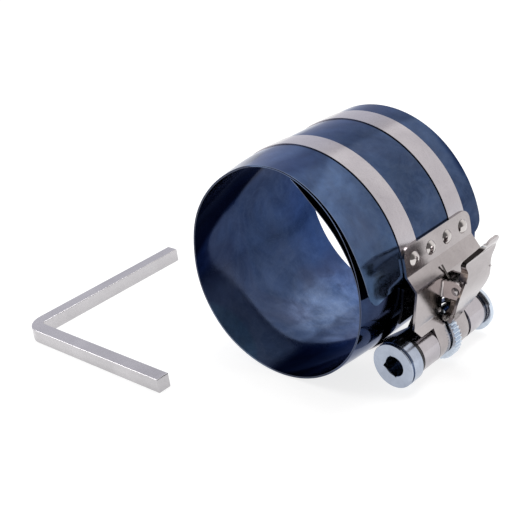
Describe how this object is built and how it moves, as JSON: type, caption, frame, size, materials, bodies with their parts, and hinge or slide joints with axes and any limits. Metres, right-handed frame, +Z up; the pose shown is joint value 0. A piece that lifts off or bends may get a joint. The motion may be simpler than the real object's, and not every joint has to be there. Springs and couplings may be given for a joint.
{
  "type": "piston ring compressor",
  "caption": "Wound spring-steel sleeve drawn tight round a piston's rings by tension bands on a ratchet spindle, with a sprung pawl lever and a loose square key.",
  "frame": {"origin": "middle of the footprint of the clamp and its key, on the surface they rest on", "axes": "+Z up; +Y along the sleeve's axis, away from the spindle's drive socket; +X from the key towards the ratchet side"},
  "size_m": [0.2098, 0.1198, 0.0965],
  "materials": {
    "blued_steel": "heat-blued spring steel, mottled, satin",
    "satin_nickel": "satin nickel-plated steel",
    "bright_zinc": "bright zinc-plated turned steel",
    "spring_wire": "dark spring wire",
    "key_steel": "dull nickel-plated bar",
    "oiled_steel": "dark oiled steel"
  },
  "bodies": {
    "clamp": {"sleeve": "blued_steel", "near_band": "satin_nickel", "far_band": "satin_nickel", "clamp_bracket": "satin_nickel", "near_band_rivet": "satin_nickel", "near_sleeve_rivet": "satin_nickel", "far_sleeve_rivet": "satin_nickel", "far_band_rivet": "satin_nickel", "pivot_pin": "satin_nickel", "pivot_clip": "satin_nickel", "pawl_spring": "spring_wire"},
    "spindle_unit": {"spindle": "bright_zinc", "near_coil": "satin_nickel", "far_coil": "satin_nickel", "near_hook_pin": "bright_zinc", "far_hook_pin": "bright_zinc", "ratchet_wheel": "bright_zinc", "wheel_pin": "bright_zinc", "near_thrust_washer": "oiled_steel", "far_thrust_washer": "satin_nickel", "end_flange": "bright_zinc", "end_nut": "bright_zinc"},
    "lever": {"pawl_lever": "satin_nickel"},
    "key": {"square_key": "key_steel"}
  },
  "joints": [
    {"name": "spindle_turn", "type": "hinge", "parent": "clamp", "child": "spindle_unit", "pos_m": [0.07597, 0.02491, 0.01125], "axis": [0, 1, 0], "range_deg": [-600, 720]},
    {"name": "lever_pivot", "type": "hinge", "parent": "clamp", "child": "lever", "pos_m": [0.08894, 0.02741, 0.0357], "axis": [0, -1, 0], "range_deg": [0, 15], "stiffness_Nm_per_rad": 0.02, "springref_deg": -22.92, "deforming": ["pawl_spring"]},
    {"name": "key_lift", "type": "slide", "parent": "clamp", "child": "key", "axis": [0, 0, 1], "range_m": [0, 0.1]}
  ]
}
